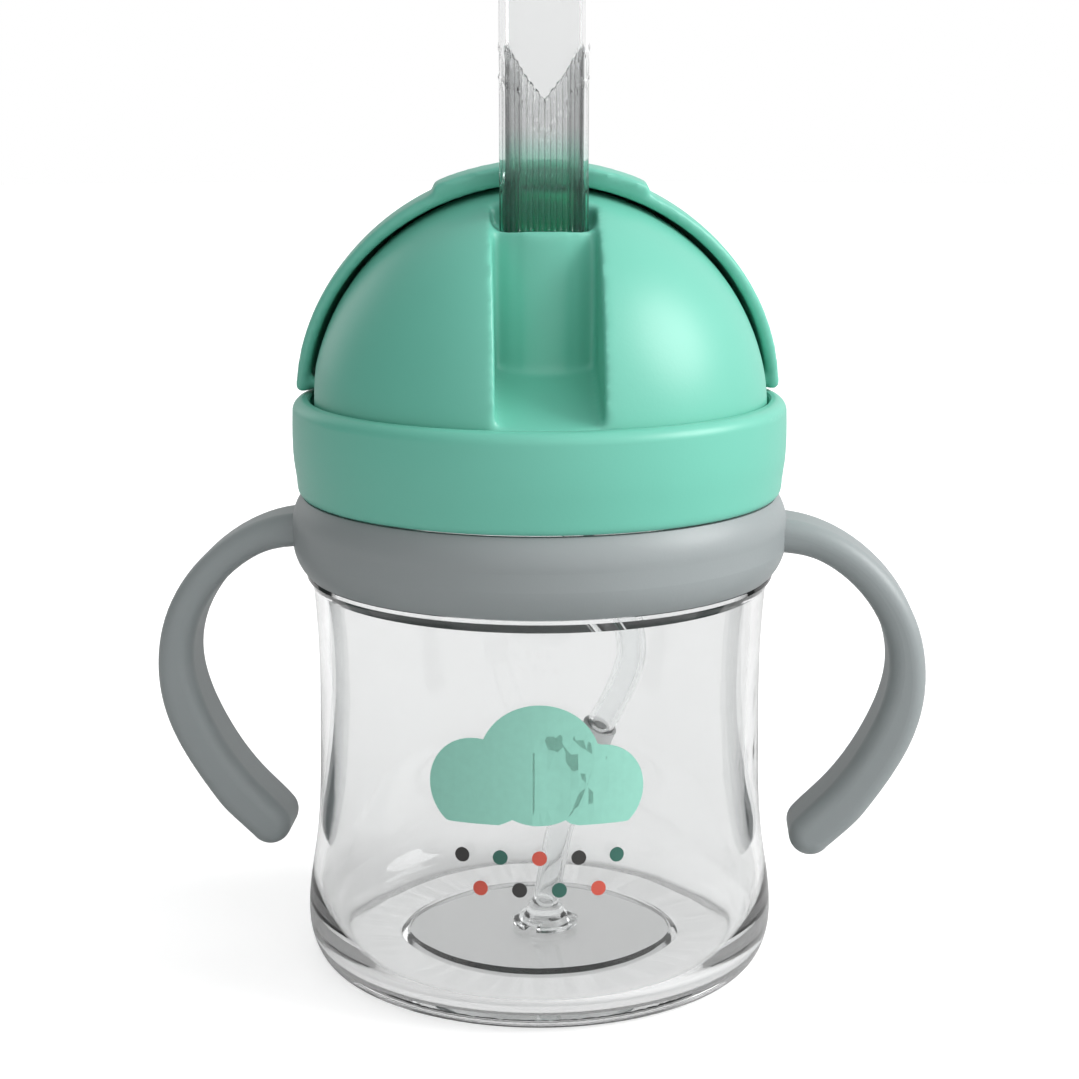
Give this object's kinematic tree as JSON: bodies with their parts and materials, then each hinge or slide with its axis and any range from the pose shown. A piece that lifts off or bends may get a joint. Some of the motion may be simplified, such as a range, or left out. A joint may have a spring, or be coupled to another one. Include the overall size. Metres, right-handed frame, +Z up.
{
  "type": "straw sippy cup",
  "caption": "Learner drinking cup with side handles, a screw ring, a domed lid with a sliding cover and a fold-down straw.",
  "frame": {"origin": "on the table under the middle of the cup, at the centre of the footprint", "axes": "+Z up; -Y is the drinking side with the straw channel; the handles are near +X and -X, with their loose ring turned 6 degrees"},
  "size_m": [0.127, 0.0806, 0.1575],
  "materials": {
    "clear_plastic": "clear polished",
    "grey_plastic": "satin",
    "mint_plastic": "satin",
    "white_silicone": "matte",
    "clear_silicone": "clear",
    "natural_plastic": "translucent"
  },
  "bodies": {
    "cup": {"cup_body": "clear_plastic"},
    "handles": {"handle_ring": "grey_plastic"},
    "lid": {"straw_dome": "mint_plastic", "neck_gasket": "white_silicone", "straw_base": "clear_silicone", "straw_fold": "clear_silicone", "hose_adapter": "natural_plastic", "vent_valve": "white_silicone", "hose": "clear_silicone", "hose_connector": "natural_plastic", "lower_tube": "clear_silicone", "straw_foot": "clear_silicone"},
    "ring": {"screw_ring": "mint_plastic"},
    "cover": {"slide_cover": "mint_plastic"},
    "mouth": {"straw_mouth": "clear_silicone"}
  },
  "joints": [
    {"name": "handles_turn", "type": "hinge", "parent": "cup", "child": "handles", "pos_m": [0, 0, 0.07], "axis": [0, 0, 1], "continuous": true},
    {"name": "lid_rise", "type": "slide", "parent": "cup", "child": "lid", "axis": [0, 0, 1], "range_m": [0, 0.004]},
    {"name": "ring_turn", "type": "hinge", "parent": "lid", "child": "ring", "pos_m": [0, 0, 0.0865], "axis": [0, 0, 1], "range_deg": [0, 451]},
    {"name": "cover_slide", "type": "hinge", "parent": "lid", "child": "cover", "pos_m": [0, 0, 0.0911], "axis": [1, 0, 0], "range_deg": [0, 73], "deforming": ["straw_fold"]},
    {"name": "straw_bend", "type": "hinge", "parent": "lid", "child": "mouth", "pos_m": [0, -0.01472, 0.12603], "axis": [1, 0, 0], "range_deg": [0, 144], "deforming": ["straw_mouth"]}
  ],
  "couplings": [
    {"joint": "ring_turn", "follows": "lid_rise", "rad_per_m": 1963.5},
    {"joint": "straw_bend", "follows": "cover_slide", "ratio": 1.9589}
  ]
}
